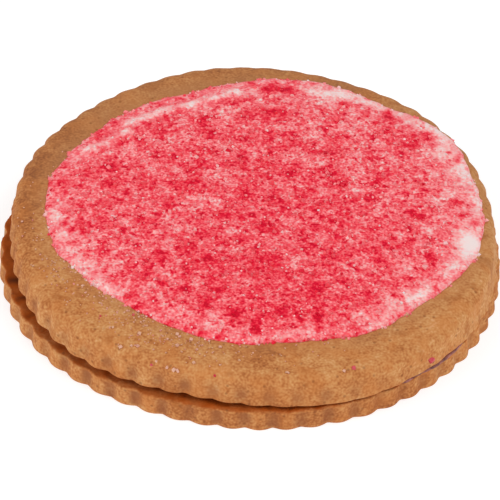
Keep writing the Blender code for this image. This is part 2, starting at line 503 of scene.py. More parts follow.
def mottling(tree, place, tone, table, detail):
    """Adds noise of several sizes to a tone, from a table of sizes and their shares."""
    for size, share in table:
        noise = add_node(
            tree, "ShaderNodeTexNoise", {"Vector": place, "Scale": per(size), "Detail": detail}
        )
        part = add_node(
            tree, "ShaderNodeMath", {0: noise.outputs["Fac"], 1: 0.5}, operation="SUBTRACT"
        )
        tone = add_node(
            tree,
            "ShaderNodeMath",
            {0: part.outputs[0], 1: share, 2: tone},
            operation="MULTIPLY_ADD",
        ).outputs[0]
    return tone


def patches(tree, place, size, detail, start, full, most):
    """Patches of about this size: none of them where a noise is at start, and most at full."""
    noise = add_node(
        tree, "ShaderNodeTexNoise", {"Vector": place, "Scale": per(size), "Detail": detail}
    )
    patch = add_node(
        tree,
        "ShaderNodeMapRange",
        {"Value": noise.outputs["Fac"], 1: start, 2: full, 4: most},
        interpolation_type="SMOOTHSTEP",
    )
    return patch.outputs[0]


def roughen(tree, place, shader, size, detail, strength, height):
    """Bumps up a shader's surface with fine noise of this size and height, in metres."""
    noise = add_node(
        tree, "ShaderNodeTexNoise", {"Vector": place, "Scale": per(size), "Detail": detail}
    )
    bump = add_node(
        tree,
        "ShaderNodeBump",
        {"Height": noise.outputs["Fac"], "Strength": strength, "Distance": height},
    )
    tree.links.new(bump.outputs["Normal"], shader.inputs["Normal"])


# Sizes of the mottling in the dough and in the icing, and how much each adds to the tone.
DOUGH_MOTTLING = ((9.0 * MM, 0.12), (3.0 * MM, 0.28), (1.2 * MM, 0.36), (0.42 * MM, 0.68))
ICING_MOTTLING = ((4.0 * MM, 0.40), (2.0 * MM, 0.45), (0.9 * MM, 0.50), (0.42 * MM, 0.78))
# From pale dough to dark.
DOUGH_STOPS = (
    (0.0, "#E2AE80"),
    (0.30, "#D0955C"),
    (0.50, "#C5824B"),
    (0.70, "#B26C39"),
    (1.0, "#884A28"),
)


def baked_dough(settings):
    """Shortcrust with mixed spice, rolled, cut and baked: matte, dry and very fine-grained.

    Four sizes of mottling, two kinds of spice and dark pores show in it, over a baked tone that
    holds painted shade and painted light on some sides. It is greyer in the flutes' valleys,
    partly its own tone and partly painted shade. It is duller by the icing, where the icing has
    greased it and where painted shade lies under its edge, and at the back, in painted shade. By
    the seam it is orange brown, with painted shade that deepens into the gap, and painted shadow
    makes it nearly black in the hollows.
    """
    material, tree, shader, place = new_material(
        "baked_spiced_shortcrust", {"Roughness": 0.82, "Specular IOR Level": 0.18}
    )
    tone, grease_and_shade, valley, soak_and_shade = (
        add_node(tree, "ShaderNodeAttribute", attribute_name=name).outputs["Fac"]
        for name in ("browning_and_shade", "grease_and_shade", "valley", "soak_and_shade")
    )
    tone = mottling(tree, place, tone, DOUGH_MOTTLING, 0.0)
    colour = add_node(tree, "ShaderNodeValToRGB", {"Fac": tone}, stops=DOUGH_STOPS)
    colour = colour.outputs["Color"]

    # What lies over the plain dough, from the first to the last: how much of it, and its colour.
    orange_spice = patches(tree, place, 4.5 * MM, 3.0, 0.46, 0.66, 0.42)
    cinnamon = patches(tree, place, 3.4 * MM, 1.5, 0.60, 0.72, 0.55)
    layers = [
        (orange_spice, linear_colour("#C97B3E")),
        (cinnamon, linear_colour("#A9622E")),
        (grease_and_shade, settings.grease_and_shade_colour),
        (valley, settings.valley_tone_and_shade_colour),
    ]
    # Orange brown by the seam, with painted shade that deepens into the gap, in the lower part of
    # the range, and nearly black painted shadow in the seam's hollows in its upper part.
    for start, full, most, soaked in (
        (0.0, 0.7, 0.95, settings.soak_and_shade_colour),
        (0.7, 1.0, 0.90, linear_colour("#361205")),
    ):
        share = add_node(tree, "ShaderNodeMapRange", {"Value": soak_and_shade, 1: start, 2: full, 4: most})
        layers.append((share.outputs[0], soaked))
    pores = add_node(
        tree, "ShaderNodeTexVoronoi", {"Vector": place, "Scale": per(1.9 * MM)}, feature="F1"
    )
    pore = add_node(
        tree,
        "ShaderNodeMapRange",
        {"Value": pores.outputs["Distance"], 1: 0.06, 2: 0.20, 3: 0.50, 4: 0.0},
        interpolation_type="SMOOTHSTEP",
    )
    layers.append((pore.outputs[0], linear_colour("#7A4424")))
    for share, over in layers:
        colour = add_node(
            tree, "ShaderNodeMix", {0: share, 6: colour, 7: (*over, 1.0)}, data_type="RGBA"
        ).outputs[2]
    tree.links.new(colour, shader.inputs["Base Color"])
    roughen(tree, place, shader, 0.34 * MM, 1.0, 0.35, 0.08 * MM)
    return material


# From bare icing, through icing pink with syrup, to undissolved jelly.
JELLY_STOPS = (
    (0.0, "#F6E1DE"),
    (0.08, "#FAD7D5"),
    (0.20, "#FFB5B2"),
    (0.33, "#FF9497"),
    (0.42, "#FE7D83"),
    (0.50, "#FA676F"),
    (0.59, "#F6515D"),
    (0.67, "#F03B4C"),
    (0.76, "#EC223D"),
    (0.86, "#E20630"),
    (1.0, "#D00028"),
)
# Red light goes about three times as deep into jelly as green and blue.
JELLY_DEPTH = (1.0, 0.35, 0.30)


def raspberry_icing():
    """Water icing wetted with raspberry jelly: moist, a little translucent, mottled with grains.

    The jelly attribute says how much jelly each place holds. Four sizes of grain break it up,
    and two sizes of flecks of undissolved jelly lie on it.
    """
    material, tree, shader, place = new_material(
        "raspberry_jelly_icing",
        {
            "Roughness": 0.48,
            "Specular IOR Level": 0.12,
            "Subsurface Weight": 0.35,
            "Subsurface Radius": JELLY_DEPTH,
            "Subsurface Scale": 0.45 * MM,
        },
    )
    jelly, grain = (
        add_node(tree, "ShaderNodeAttribute", attribute_name=name).outputs["Fac"]
        for name in ("jelly", "grain")
    )
    spread = mottling(tree, place, 0.0, ICING_MOTTLING, 0.5)
    for size, start, full, most in ((2.4 * MM, 0.54, 0.70, 0.30), (1.0 * MM, 0.56, 0.70, 0.34)):
        fleck = patches(tree, place, size, 2.0, start, full, most)
        spread = add_node(
            tree, "ShaderNodeMath", {0: spread, 1: fleck}, operation="ADD"
        ).outputs[0]
    amount = add_node(
        tree, "ShaderNodeMath", {0: spread, 1: grain, 2: jelly}, operation="MULTIPLY_ADD"
    )
    colour = add_node(
        tree, "ShaderNodeValToRGB", {"Fac": amount.outputs[0]}, stops=JELLY_STOPS
    )
    tree.links.new(colour.outputs["Color"], shader.inputs["Base Color"])
    roughen(tree, place, shader, 0.30 * MM, 2.0, 0.5, 0.07 * MM)
    return material


# Each kind of crystal: its material's name, its finish, and its ramp from no jelly to pure jelly.
CRYSTAL_KINDS = {
    # Sugar stained pink to crimson with jelly powder: moist and shiny.
    "jelly_crystals": (
        "raspberry_jelly_crystal",
        {
            "Roughness": 0.30,
            "IOR": 1.50,
            "Specular IOR Level": 0.25,
            "Subsurface Weight": 0.35,
            "Subsurface Radius": JELLY_DEPTH,
            "Subsurface Scale": 0.4 * MM,
        },
        JELLY_STOPS,
    ),
    # Colourless, but tinted by the jelly below: sharp and very shiny.
    "sugar_crystals": (
        "sugar_crystal",
        {
            "Roughness": 0.15,
            "IOR": 1.54,
            "Subsurface Weight": 0.5,
            "Subsurface Radius": (1.0, 0.8, 0.8),
            "Subsurface Scale": 0.3 * MM,
        },
        ((0.0, "#FFE6E2"), (0.5, "#FFBEBE"), (1.0, "#FF9A9E")),
    ),
    # Lying on the dough, whose colour they take on: small and dull.
    "loose_grains": (
        "loose_sugar_and_jelly",
        {"Roughness": 0.35, "IOR": 1.50},
        ((0.0, "#D9A984"), (0.25, "#DFA896"), (0.6, "#DC6A70"), (1.0, "#C41634")),
    ),
}


def grown_crystal(kind):
    """Sugar crystals of one kind, coloured by how much jelly each of them holds."""
    name, finish, stops = CRYSTAL_KINDS[kind]
    material, tree, shader, _ = new_material(name, finish)
    jelly = add_node(tree, "ShaderNodeAttribute", attribute_name="jelly").outputs["Fac"]
    colour = add_node(tree, "ShaderNodeValToRGB", {"Fac": jelly}, stops=stops)
    tree.links.new(colour.outputs["Color"], shader.inputs["Base Color"])
    return material


def raspberry_jam():
    """Boiled raspberry jam, dried at its edge: a dull reddish brown, mottled by its seeds."""
    material, tree, shader, place = new_material("raspberry_jam", {"Roughness": 0.42})
    seeds = add_node(
        tree, "ShaderNodeTexNoise", {"Vector": place, "Scale": per(1.1 * MM), "Detail": 3.0}
    )
    colour = add_node(
        tree,
        "ShaderNodeValToRGB",
        {"Fac": seeds.outputs["Fac"]},
        stops=((0.30, "#66322C"), (0.55, "#96544A"), (0.75, "#B87468")),
    )
    tree.links.new(colour.outputs["Color"], shader.inputs["Base Color"])
    return material


# ---------------------------------------------------------------- the baked halves

DOUGH_COLUMNS = FLUTE_COUNT * 13
HIDDEN_RADIUS = 24.0 * MM
RING_STEP = 0.34 * MM
VALLEY_ROUNDING = 0.15


def rim_radius_of(half, settings):
    """Where the upper face ends and the shoulder starts."""
    return settings.radius - half.wall_lean - half.shoulder_width


def thickness_share(x, y, half, settings):
    """How thick the dough is here, as a share of its usual thickness."""
    towards = x * cos(TAPER_TURN) + y * sin(TAPER_TURN)
    return 1.0 + half.taper * towards / settings.radius


def face_height(x, y, half, settings):
    """Height of a half's upper face: a shallow dome, then the quarter round of the shoulder."""
    rim = rim_radius_of(half, settings)
    radius = np.hypot(x, y)
    inside = np.clip(radius / rim, 0.0, 1.0)
    outside = np.clip((radius - rim) / half.shoulder_width, 0.0, 1.0)
    shoulder = (half.shoulder_top - half.wall_height) * np.sqrt(1.0 - outside**2)
    dome = (half.crown - half.shoulder_top) * (1.0 - inside**2)
    return (half.wall_height + shoulder + dome) * thickness_share(x, y, half, settings)


def half_section(half, settings):
    """Radii and heights of a half's rings, from the middle of its top out, down and back in."""
    rim = rim_radius_of(half, settings)
    face = np.hstack(
        (np.linspace(0.0, HIDDEN_RADIUS, 7)[:-1], np.arange(HIDDEN_RADIUS, rim, RING_STEP))
    )
    bands = max(6, round(half.shoulder_width / (0.18 * MM)))
    shoulder = rim + half.shoulder_width * np.sin(np.linspace(0.0, pi / 2, bands + 1))
    top = np.hstack((face, shoulder))
    wall = np.linspace(half.wall_height, FOOT_ROUNDING, 13)[1:]
    over_foot = (wall - FOOT_ROUNDING) / (half.wall_height - FOOT_ROUNDING)
    wall_radius = settings.radius - half.wall_lean * over_foot
    foot = np.linspace(0.0, pi / 2, 4)[1:]
    foot_radius = settings.radius - FOOT_ROUNDING * (1.0 - np.cos(foot))
    foot_height = FOOT_ROUNDING * (1.0 - np.sin(foot))
    under = np.array((settings.radius - 2.0 * MM, settings.radius - 6.0 * MM, 20.0 * MM, 0.0))
    level = half._replace(taper=0.0)
    top_height = face_height(top, 0.0, level, settings)
    radius = np.hstack((top, wall_radius, foot_radius, under))
    height = np.hstack((top_height, wall, foot_height, np.zeros_like(under)))
    return radius[:, None], height[:, None]


def half_rings(half, settings):
    """Rings of a half: the turned section, moved to its outline and in at each valley.

    A valley's depth is one less the size of the sine of half the flutes' angle, with the sine's
    sharp turn rounded. Returns the rings and how deep in a valley each point is, from 0 to 1.
    """
    radius, height = half_section(half, settings)
    turn = np.linspace(0.0, tau, DOUGH_COLUMNS, endpoint=False)[None, :]
    start = half.wall_height * FLUTE_FADE_START
    over_wall = np.clip((height - start) / (half.shoulder_top - start), 0.0, 1.0)
    swing = np.hypot(np.sin(FLUTE_COUNT * turn / 2), VALLEY_ROUNDING)
    lobe = (swing - VALLEY_ROUNDING) / (np.hypot(1.0, VALLEY_ROUNDING) - VALLEY_ROUNDING)
    upright = 1.0 - (1.0 - half.top_flutes) * over_wall**FLUTE_FADE_POWER
    first, cosine, sine = (radians(value) for value in half.spread)
    place = turn + first
    place = place + cosine * np.cos(place) + sine * np.sin(place)
    # The cutter's flutes all come out a little different: from 80 to 120 percent deep.
    flute = np.stack((np.cos(place) * 9.0, np.sin(place) * 9.0, np.zeros_like(place)), -1)
    depth = settings.flute_depth * (1.0 + 0.2 * soft_noise(flute, 1.0, half.seed))
    depth = depth * (1.0 - half.slump * side(place, SLUMP_TURN, SLUMP_SPREAD, 4))
    outward = (radius / settings.radius) ** OUTLINE_FADE_POWER
    radius = radius + outward * (waves(place, half.outline) - depth * (1.0 - lobe) * upright)
    x = radius * np.cos(place)
    y = radius * np.sin(place)
    rings = np.stack((x, y, height * thickness_share(x, y, half, settings)), -1)
    return rings, (1.0 - lobe) * upright * outward


# Pores of the upper half that are large enough to be pits: (x, y, width), in mm.
RIM_PITS = ((7.2, -36.0, 0.95), (4.5, -35.0, 0.55), (24.0, -31.0, 0.5), (33.5, -24.0, 0.6))
PIT_DEPTH = 0.30 * MM

# Height of the lumps of dough on the ledge by the seam.
LEDGE_LUMPS = 0.28 * MM

# Sizes of the swells, of the crumb's grains and lumps, and of the space from pore to pore.
SWELL_SIZE = 9.0 * MM
SMALL_SWELL_SIZE = 3.6 * MM
CRUMB_SIZE = 1.3 * MM
LUMP_SIZE = 1.0 * MM
PORE_SPACING = 2.6 * MM


def dough_relief(rings, half, settings):
    """Height of the baked surface over its plain shape.

    It is slow swells, plus crumb that is twice as rough on the cut wall, less the pits where a
    random seed point is near. The lower half has lumps on its ledge and a flat underside, and
    the upper one has some larger pits.
    """
    plan = np.hypot(rings[..., 0], rings[..., 1])
    on_wall = smooth_step(0.93, 1.0, plan / settings.radius)
    relief = settings.unevenness * soft_noise(rings, SWELL_SIZE, half.seed)
    relief += 0.5 * settings.unevenness * soft_noise(rings, SMALL_SWELL_SIZE, half.seed + 5)
    crumb = rough_noise(rings, CRUMB_SIZE, half.seed + 9)
    relief += settings.crumb * (1.0 + 1.2 * on_wall) * crumb
    near, value = nearest_seed(rings, PORE_SPACING, half.seed + 20)
    relief -= 1.8 * settings.crumb * (1.0 - smooth_step(0.05, 0.32, near)) * (value > 0.45)
    if half is LOWER_HALF:
        ledge = smooth_step(0.90, 0.93, plan / settings.radius)
        ledge = ledge * smooth_step(3.2 * MM, 3.6 * MM, rings[..., 2])
        relief += LEDGE_LUMPS * ledge * rough_noise(rings, LUMP_SIZE, half.seed + 15, layers=2)
        return relief * smooth_step(0.0, 0.5 * MM, rings[..., 2])
    for x, y, width in RIM_PITS:
        gap = np.hypot(rings[..., 0] - x * MM, rings[..., 1] - y * MM)
        relief -= PIT_DEPTH * bell(gap, 0.0, width * MM / 2)
    return relief


def back_shade_share(turn):
    """1 at the back, where the dough has painted shade, falling to 0 at both sides."""
    return side(turn, 110.0, 62.0, 4)


# How dark the dough is on the whole, on the ramp from pale to dark.
USUAL_BROWNING = 0.48


def browning_and_shade_of(rings, half, settings):
    """How dark the dough is: a random baked tone, with painted shade and light on some sides."""
    turn = turn_of(rings)
    browning_and_shade = USUAL_BROWNING + 0.10 * soft_noise(rings, 6.0 * MM, half.seed + 40)
    # Painted shade: the lower half dark at its front, and the upper one on its front wall, its left
    # shoulder and its back.
    front = side(turn, -85.0, 35.0, 4)
    if half is LOWER_HALF:
        return browning_and_shade + 0.13 * front
    plan = np.hypot(rings[..., 0], rings[..., 1]) / settings.radius
    left_shoulder = side(turn, 170.0, 30.0, 4) * bell(plan, 0.92, 0.05)
    front_wall = front * smooth_step(0.93, 0.98, plan)
    # Painted light: the upper half paler on its right.
    right = side(turn, -12.0, 32.0, 4)
    painted_shade = 0.24 * left_shoulder + 0.13 * back_shade_share(turn) + 0.06 * front_wall
    return browning_and_shade + painted_shade - 0.11 * right


def valley_tone_and_shade_of(rings, hollow, half):
    """Broad grey patches low down in the flutes' valleys: the dough's tone and painted shade."""
    across = smooth_step(0.08, 0.80, hollow)
    turn = turn_of(rings)
    height = rings[..., 2]
    # The painted shade in the valleys is weaker on the right of each half.
    if half is UPPER_HALF:
        upright = bell(height, 1.9 * MM, 1.3 * MM) * (1.0 - side(turn, -15.0, 54.0, 6))
    else:
        upright = smooth_step(0.0, 0.8 * MM, height)
        upright = upright * (1.0 - smooth_step(2.9 * MM, 3.6 * MM, height))
        upright = upright * (1.0 - 0.6 * side(turn, -12.0, 50.0, 4))
    uneven = 0.72 + 0.42 * soft_noise(rings, 2.8 * MM, half.seed + 60)
    return 0.80 * across * upright * uneven


# Spots of painted shadow in the seam, under the upper half's edge: (turn, spread), in degrees.
SEAM_SHADOW_SPOTS = (
    (-75.1, 1.4),
    (-85.3, 1.0),
    (-99.4, 1.5),
    (-105.7, 1.2),
    (-108.7, 0.9),
    (-125.8, 1.6),
    (-133.5, 1.3),
    (-139.7, 1.6),
    (-153.5, 1.3),
    (-160.0, 1.3),
    (-166.9, 1.6),
)


def soak_and_shade_of(rings, half, settings):
    """How orange brown the dough is by the seam: partly its own colour there, and partly painted
    shade that deepens into the gap between the halves.

    The upper half has it underneath, as painted shade along its foot, and the lower one on top,
    from a ragged line just inside its edge, which lies further out at the left. Past 0.7 it is
    painted shadow, nearly black, as it is in the holes where a noise is high and in the listed
    spots.
    """
    if half is UPPER_HALF:
        # Painted shade along the upper half's foot, at the seam.
        return 0.8 * (1.0 - smooth_step(0.0, 0.25 * MM, rings[..., 2]))
    turn = turn_of(rings)
    inset = settings.radius + waves(turn, half.outline) - np.hypot(rings[..., 0], rings[..., 1])
    ragged = 0.70 * MM * rough_noise(rings, 1.3 * MM, half.seed + 70)
    # At the left the orange brown reaches further out, and the painted shadow in the holes is
    # fainter.
    left = side(turn, -165.0, 40.0, 4)
    inward = smooth_step(0.1 * MM, 1.1 * MM, inset + ragged + 0.8 * MM * left)
    holes = smooth_step(-0.05, 0.25, rough_noise(rings, 1.8 * MM, half.seed + 80, layers=2))
    holes = holes * smooth_step(0.8 * MM, 1.6 * MM, inset + 0.6 * ragged) * (1.0 - 0.8 * left)
    under_edge = smooth_step(0.3 * MM, 0.8 * MM, inset + 0.4 * ragged)
    for middle, spread in SEAM_SHADOW_SPOTS:
        holes = np.maximum(holes, side(turn, middle, spread) * under_edge)
    on_top = smooth_step(3.3 * MM, 3.7 * MM, rings[..., 2])
    return inward * (0.7 + 0.3 * holes) * on_top


# How far past the icing the greased dough and the painted shade under its edge show.
HALO_WIDTH = 4.5 * MM


def grease_and_shade_of(rings, half):
    """How dull the dough is: in a halo of a few millimetres past the icing, where it is greased and
    where painted shade lies under the icing's edge, and at the back, in painted shade.
    """
    if half is LOWER_HALF:
        return np.zeros(rings.shape[:-1])
    gap = icing_gap(rings[..., 0], rings[..., 1])
    halo = 1.0 - smooth_step(0.0, HALO_WIDTH, gap)
    uneven = 0.75 + 0.25 * soft_noise(rings, 3.0 * MM, 71)
    return 0.38 * (halo + back_shade_share(turn_of(rings))) * uneven


# Where the two halves' edges have grown together, and how far up the upper one's wall.
JOINT_TURN = 4.0
JOINT_SPREAD = 38.0
JOINT_HEIGHT = 2.2 * MM
JOINT_OVERLAP = 0.2 * MM

# Where the upper one's edge has lifted off and lets the jam show.
CHIP_TURN = -44.0
CHIP_SPREAD = 15.0
CHIP_HEIGHT = 0.38 * MM


def join_edges(points, rise, settings):
    """Draws the upper half's wall out and down to the lower half's edge, where they are one.

    The pull is full at the wall's foot. It dies out up the wall, which is the points' rise over
    the foot, and to both sides of the joint. Next to it the foot is chipped.
    """
    lower, _ = half_rings(LOWER_HALF, settings)
    _, height = half_section(LOWER_HALF, settings)
    edge = lower[np.argmin(np.abs(height - LOWER_HALF.wall_height))]
    edge_turn = turn_of(edge)
    turn = turn_of(points)
    reach = np.interp(turn, edge_turn, np.hypot(edge[:, 0], edge[:, 1]), period=tau)
    level = np.interp(turn, edge_turn, edge[:, 2], period=tau) - JOINT_OVERLAP
    plan = np.hypot(points[..., 0], points[..., 1])
    pull = side(turn, JOINT_TURN, JOINT_SPREAD, 6)
    pull = pull * (1.0 - smooth_step(0.0, JOINT_HEIGHT, rise))
    pull = pull * smooth_step(0.93, 0.97, plan / reach)
    out = 1.0 + pull * (reach / np.maximum(plan, MM) - 1.0)
    drop = pull * (points[..., 2] - level)
    chip = side(turn, CHIP_TURN, CHIP_SPREAD, 4) * smooth_step(0.90, 0.95, plan / reach)
    chip = CHIP_HEIGHT * chip * (1.0 + 0.6 * soft_noise(points, 3.0 * MM, 91))
    height = points[..., 2] - drop + chip * (1.0 - smooth_step(0.0, 1.6 * MM, rise))
    return np.stack((points[..., 0] * out, points[..., 1] * out, height), -1)


def add_half(name, half, place, settings, material):
    """Makes one baked half: its rings, pushed out by the relief, and the numbers that colour it."""
    rings, hollow = half_rings(half, settings)
    relief = dough_relief(rings, half, settings)
    points = placed(rings + ring_normals(rings) * relief[..., None], place)
    if half is UPPER_HALF:
        points = join_edges(points, rings[..., 2], settings)
    mesh = closed_skin(name, points)
    for value_name, values in (
        ("browning_and_shade", browning_and_shade_of(rings, half, settings)),
        ("valley", valley_tone_and_shade_of(rings, hollow, half)),
        ("soak_and_shade", soak_and_shade_of(rings, half, settings)),
        ("grease_and_shade", grease_and_shade_of(rings, half)),
    ):
        store_values(mesh, value_name, skin_values(values))
    return add_piece("baked_" + name, mesh, material, [name])


# ---------------------------------------------------------------- jam

JAM_COLUMNS = 720


def add_jam(settings, material):
    """The jam: a disc from one half to the other, with a lumpy edge that bulges out at one side."""
    turn = np.linspace(0.0, tau, JAM_COLUMNS, endpoint=False)[None, :]
    rim = JAM_RADIUS + waves(turn, JAM_WAVES)
    rim = rim + JAM_BULGE * side(turn, JAM_BULGE_TURN, JAM_BULGE_SPREAD)
    edge = np.stack((rim * np.cos(turn), rim * np.sin(turn), np.zeros_like(turn)), -1)
    rim = rim + 0.45 * MM * rough_noise(edge, 3.0 * MM, 31, layers=3)
    # The rings' share of the way out, and their share of the space's height.
    inside = np.array((0.0, 0.5, 0.8, 0.9, 0.95, 0.98, 0.99))
    round_edge = np.linspace(pi / 2, -pi / 2, 9)
    share = np.hstack((inside, 0.99 + 0.01 * np.cos(round_edge), inside[::-1]))[:, None]
    level = np.hstack(
        (np.ones_like(inside), 0.5 + 0.5 * np.sin(round_edge), np.zeros_like(inside))
    )[:, None]
    x = JAM_CENTRE[0] + share * rim * np.cos(turn)
    y = JAM_CENTRE[1] + share * rim * np.sin(turn)
    normal = UPPER_PLACE.to_3x3().col[2]
    over = UPPER_SHIFT.z - ((x - UPPER_SHIFT.x) * normal.x + (y - UPPER_SHIFT.y) * normal.y)
    under = face_height(x, y, LOWER_HALF, settings)
    height = under + level * (over - under)
    mesh = closed_skin("jam", np.stack((x, y, height), -1))
    return add_piece("raspberry_jam_layer", mesh, material, ["jam"])


# ---------------------------------------------------------------- icing

ICING_COLUMNS = 640
ICING_RING_STEP = 0.27 * MM

# Where the jelly has run off and the icing shows bare: (turn in degrees, inset and width in mm,
# spread in degrees, amount).
BARE_PATCHES = (
    (-12, 1.7, 1.6, 3.6, 0.40),
    (-11, 2.6, 3.6, 9.0, 0.14),
    (-18, 1.0, 1.3, 4.0, 0.20),
    (-25, 2.4, 1.8, 6.0, 0.16),
    (3, 0.8, 1.3, 6.0, 0.18),
    (13, 0.6, 1.6, 6.0, 0.22),
    (21, 1.4, 1.8, 4.0, 0.22),
    (29, 3.2, 2.6, 4.0, 0.22),
    (38, 1.0, 1.9, 6.0, 0.32),
    (46, 1.8, 1.8, 4.0, 0.24),
    (54, 1.2, 1.4, 5.0, 0.26),
    (61, 1.2, 1.4, 4.0, 0.22),
    (66, 4.5, 3.5, 12.0, 0.05),
    (69, 2.0, 2.2, 6.0, 0.32),
    (76, 3.6, 1.6, 4.0, 0.24),
    (90, 6.0, 6.0, 24.0, 0.09),
    (-8, 5.0, 5.0, 16.0, 0.12),
    (24, 4.5, 4.5, 16.0, 0.11),
    (-174, 0.9, 1.8, 5.0, 0.18),
    (-167, 2.8, 2.2, 5.0, 0.14),
    (-161, 1.7, 1.9, 6.0, 0.18),
    (-152, 1.3, 1.7, 4.0, 0.17),
    (-143, 1.1, 1.7, 6.0, 0.22),
    (-136, 0.7, 1.2, 4.0, 0.12),
    (-106, 4.8, 1.5, 3.0, 0.12),
    (-96, 1.0, 1.6, 5.0, 0.15),
    (-83, 0.8, 1.1, 7.0, 0.14),
    (-57, 0.5, 0.9, 4.0, 0.20),
    (-49, 2.2, 1.6, 5.0, 0.22),
    (-39, 1.7, 1.8, 5.0, 0.32),
)

# Clumps of undissolved jelly, and paler places where the amount is negative: (x, y from the
# icing's middle, width, in mm, and amount).
JELLY_CLUMPS = (
    (3.0, -25.0, 10.0, 0.12),
    (-8.0, 3.0, 12.0, 0.03),
    (12.1, 22.7, 6.0, -0.10),
    (-14.2, 8.1, 4.0, -0.07),
    (25.9, 11.1, 3.0, -0.07),
    (-13.8, -16.0, 5.5, 0.09),
    (29.6, -7.5, 3.0, 0.09),
    (26.4, -20.5, 3.0, 0.04),
    (20.6, -26.0, 3.0, 0.04),
    (-22.7, 2.4, 4.0, 0.05),
    (-28.5, 18.5, 3.0, 0.14),
    (-20.0, 28.0, 3.0, 0.12),
    (20.2, 20.9, 2.4, 0.14),
    (-0.3, 31.8, 1.4, 0.36),
    (2.7, 31.5, 1.4, 0.36),
    (0.7, 24.2, 1.8, 0.24),
    (-4.4, 23.4, 1.6, 0.24),
    (12.8, 28.3, 1.1, 0.30),
    (20.0, 26.5, 1.0, 0.40),
    (20.9, 24.7, 1.2, 0.28),
    (10.8, 13.6, 0.9, 0.42),
    (27.1, 20.5, 1.0, 0.34),
    (24.8, 17.6, 0.9, 0.30),
    (23.1, 17.3, 0.9, 0.30),
    (27.9, 17.8, 0.6, 0.30),
    (30.8, 16.4, 0.4, 0.50),
    (32.2, 14.3, 0.6, 0.42),
    (29.6, 12.6, 1.2, 0.24),
    (34.6, 6.8, 0.5, 0.40),
    (35.0, 3.1, 0.5, 0.34),
    (31.5, 2.6, 1.1, 0.34),
    (33.0, -0.5, 1.0, 0.30),
    (35.0, -2.2, 0.8, 0.36),
    (26.0, -1.2, 0.9, 0.34),
    (24.3, -8.1, 0.8, 0.36),
    (28.0, -12.2, 1.0, 0.30),
    (-34.3, -6.4, 0.9, 0.42),
    (-37.6, 4.4, 0.8, 0.30),
    (-34.6, 1.5, 0.6, 0.36),
    (-27.3, 10.9, 0.8, 0.34),
    (-22.0, -24.3, 0.9, 0.34),
    (-16.3, -31.0, 0.6, 0.30),
    (-10.6, -26.9, 1.3, 0.34),
    (-4.9, -28.3, 0.9, 0.40),
    (-1.3, -32.2, 0.8, 0.34),
    (2.5, -27.4, 1.1, 0.34),
    (8.6, -28.0, 1.0, 0.46),
    (9.2, -21.6, 1.0, 0.32),
    (15.5, -30.7, 1.1, 0.36),
    (16.9, -22.2, 0.8, 0.36),
)

# The soft ridge inside the back edge, in two strokes: points (x, y) on the upper half, in mm.
RIDGE_STROKES = (
    ((-29.5, 15.0), (-27.0, 16.2), (-24.5, 18.3), (-22.5, 20.5)),
    ((-22.1, 22.7), (-18.4, 24.9), (-16.2, 26.6), (-12.8, 28.0), (-8.1, 30.0), (-4.0, 32.6)),
)
RIDGE_WIDTH = 1.0 * MM

# Heights and sizes of the icing's slow swells, and the space from grain to grain.
ICING_SWELLS = ((0.10 * MM, 6.5 * MM, 61), (0.06 * MM, 2.6 * MM, 62))
GRAIN_SPACING = 0.62 * MM
# How far the icing's underside lies sunk below its resting line.
ICING_SINK = 0.30 * MM
# What is left of the icing's thickness at the very foot of its round edge.
FOOT_SHARE = 0.10


def icing_rim(turn):
    """Distance of the icing's edge from its own middle, with the wiggles of a crumbly edge."""
    edge = np.stack((np.cos(turn), np.sin(turn), np.zeros_like(turn)), -1) * ICING_RADIUS
    wiggle = 0.36 * MM * rough_noise(edge, 1.9 * MM, 51, layers=3)
    lobe = ICING_LOBE * side(turn, ICING_LOBE_TURN, ICING_LOBE_SPREAD)
    return ICING_RADIUS + waves(turn, ICING_OUTLINE) + lobe + wiggle


def around_icing(turn, radius):
    """Places on the upper half, by turn and radius from the icing's middle."""
    return ICING_CENTRE[0] + radius * np.cos(turn), ICING_CENTRE[1] + radius * np.sin(turn)


def icing_gap(x, y):
    """Distance outside the icing's edge, in plan, on the upper half."""
    from_middle = np.hypot(x - ICING_CENTRE[0], y - ICING_CENTRE[1])
    turn = np.arctan2(y - ICING_CENTRE[1], x - ICING_CENTRE[0])
    return from_middle - icing_rim(turn)


def ridge_share(x, y):
    """How near a place is to the ridge's crest, which is a row of short straight strokes."""
    place = np.stack((x, y), -1)
    nearest = np.full(x.shape, 1.0)
    for stroke in RIDGE_STROKES:
        points = np.array(stroke) * MM
        for start, end in zip(points[:-1], points[1:]):
            along = end - start
            share = np.clip((place - start) @ along / (along @ along), 0.0, 1.0)
            gap = np.linalg.norm(place - start - share[..., None] * along, axis=-1)
            nearest = np.minimum(nearest, gap)
    return bell(nearest, 0.0, RIDGE_WIDTH)


def icing_surface(turn, inset, settings, rim):
    """Height of the icing over the upper half, by turn and by distance in from the edge.

    The plain pool thins towards its edge. On it lie the ridge, slow swells, and the grains'
    bumps, which are each a dome on the nearest random seed point.
    """
    radius = rim - inset
    x, y = around_icing(turn, radius)
    flat = np.stack((x, y, np.zeros_like(x)), -1)
    share = np.clip(radius / (rim - ICING_EDGE_WIDTH), 0.0, 1.0)
    thickness = settings.thickness + (settings.edge_thickness - settings.thickness) * share**4
    thickness = thickness + settings.ridge_height * ridge_share(x, y)
    for height, size, seed in ICING_SWELLS:
        thickness = thickness + height * soft_noise(flat, size, seed)
    near, value = nearest_seed(flat, GRAIN_SPACING, 63)
    dome = np.sqrt(np.clip(1.0 - (near / 0.75) ** 2, 0.0, 1.0)) * (0.35 + 0.65 * value)
    grain = settings.grain_height * (dome - 0.45) * grain_share(turn, inset)
    return x, y, thickness + grain


def grain_share(turn, inset):
    """How grainy the icing is: coarse in its middle, and smoother in a band inside its edge."""
    band = smooth_step(1.0 * MM, 8.0 * MM, inset)
    least = 0.30 + 0.25 * side(turn, -100.0, 50.0)
    return least + (1.0 - least) * band


